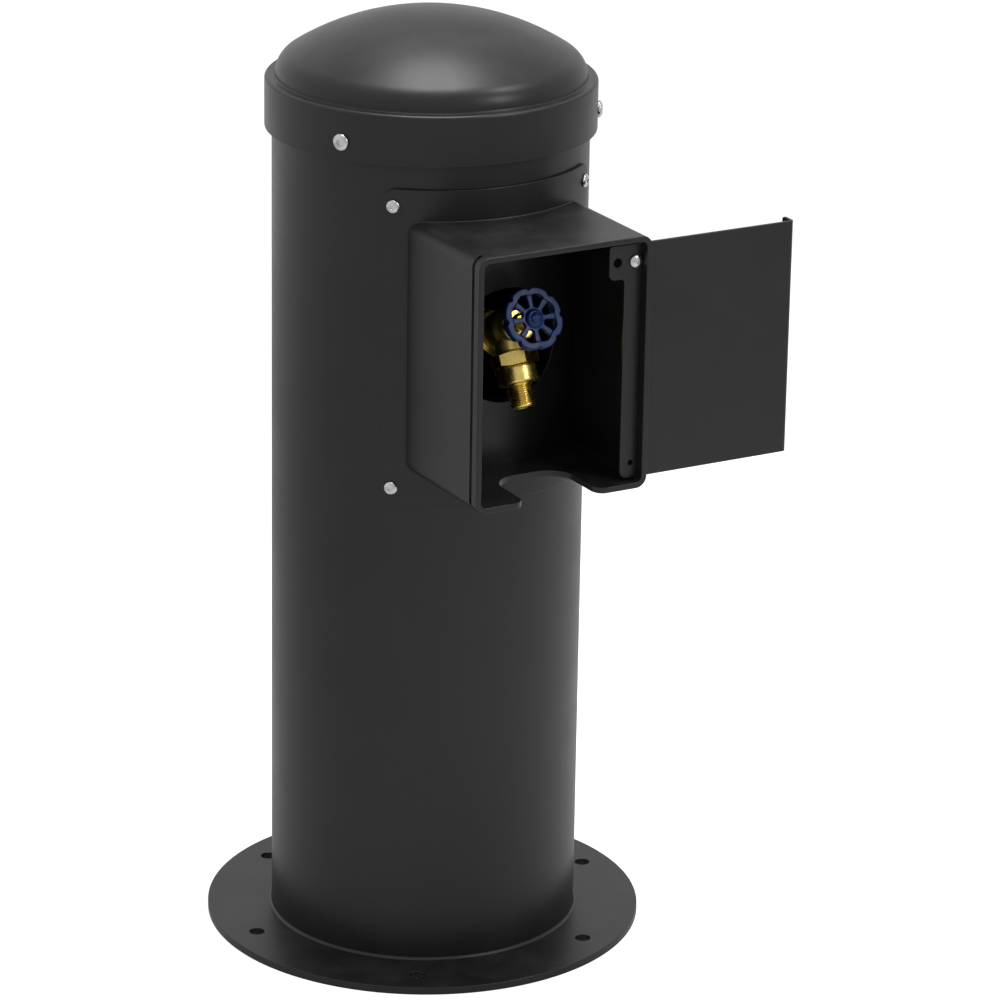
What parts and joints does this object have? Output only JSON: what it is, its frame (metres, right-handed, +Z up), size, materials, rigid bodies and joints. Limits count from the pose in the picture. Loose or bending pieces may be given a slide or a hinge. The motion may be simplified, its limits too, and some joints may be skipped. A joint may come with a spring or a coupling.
{
  "type": "hose tap bollard",
  "caption": "Round black steel bollard post on a bolted base plate, with a domed cap and a side box whose door slides open to reach a brass hose tap.",
  "frame": {"origin": "centre of the base plate's underside", "axes": "+Z up along the post, -Y towards the front of the tap box, +X the way the door slides open"},
  "size_m": [0.4998, 0.51, 0.9843],
  "materials": {
    "black_powder_coat": "semi-matte black powder coat",
    "stainless_steel": "bright turned stainless",
    "spring_steel": "drawn stainless wire",
    "brass": "satin cast and machined brass",
    "galvanised_steel": "dull zinc",
    "black_rubber": "moulded rubber",
    "blue_enamel": "glossy royal-blue enamel on a casting",
    "white_acetal": "moulded acetal"
  },
  "bodies": {
    "post": {"base_plate": "black_powder_coat", "base_weld": "black_powder_coat", "post_tube": "black_powder_coat", "cap": "black_powder_coat", "tap_box": "black_powder_coat", "cap_screw_1": "stainless_steel", "cap_screw_2": "stainless_steel", "cap_screw_3": "stainless_steel", "box_screw_1": "stainless_steel", "box_screw_2": "stainless_steel", "box_screw_3": "stainless_steel", "box_screw_4": "stainless_steel", "breaker_set_screw": "stainless_steel", "riser_ubolt": "stainless_steel", "ubolt_nut_1": "stainless_steel", "ubolt_nut_2": "stainless_steel", "breaker_spring": "spring_steel", "tap_body": "brass", "packing_nut": "brass", "breaker_collar": "brass", "breaker_body": "brass", "cap_nut_1": "galvanised_steel", "cap_nut_2": "galvanised_steel", "cap_nut_3": "galvanised_steel", "box_nut_1": "galvanised_steel", "box_nut_2": "galvanised_steel", "box_nut_3": "galvanised_steel", "box_nut_4": "galvanised_steel", "inlet_nipple": "galvanised_steel", "inlet_elbow": "galvanised_steel", "riser_pipe": "galvanised_steel", "riser_coupling": "galvanised_steel", "riser_bracket": "galvanised_steel", "stem_packing": "black_rubber", "breaker_diaphragm": "black_rubber"},
    "sliding_door": {"door": "black_powder_coat", "door_stop_screw": "stainless_steel", "door_stop_nut": "stainless_steel"},
    "washer_carrier": {"seat_washer": "black_rubber"},
    "spindle": {"valve_stem": "brass", "washer_screw": "brass", "handwheel": "blue_enamel", "handle_screw": "stainless_steel"},
    "poppet": {"breaker_poppet": "white_acetal"}
  },
  "joints": [
    {"name": "door_slide", "type": "slide", "parent": "post", "child": "sliding_door", "axis": [1, 0, 0], "range_m": [-0.1685, 0]},
    {"name": "stem_lift", "type": "slide", "parent": "post", "child": "washer_carrier", "axis": [0, -0.8988, 0.4384], "range_m": [0, 0.00763]},
    {"name": "wheel_turn", "type": "hinge", "parent": "washer_carrier", "child": "spindle", "pos_m": [0, -0.1644, 0.6933], "axis": [0, -0.8988, 0.4384], "range_deg": [0, 1080]},
    {"name": "poppet_slide", "type": "slide", "parent": "post", "child": "poppet", "axis": [0, -0.4384, -0.8988], "range_m": [0, 0.0025], "stiffness_N_per_m": 300, "springref_m": -0.002, "deforming": ["breaker_spring"]}
  ],
  "couplings": [
    {"joint": "stem_lift", "follows": "wheel_turn", "m_per_rad": 0.00040425}
  ]
}
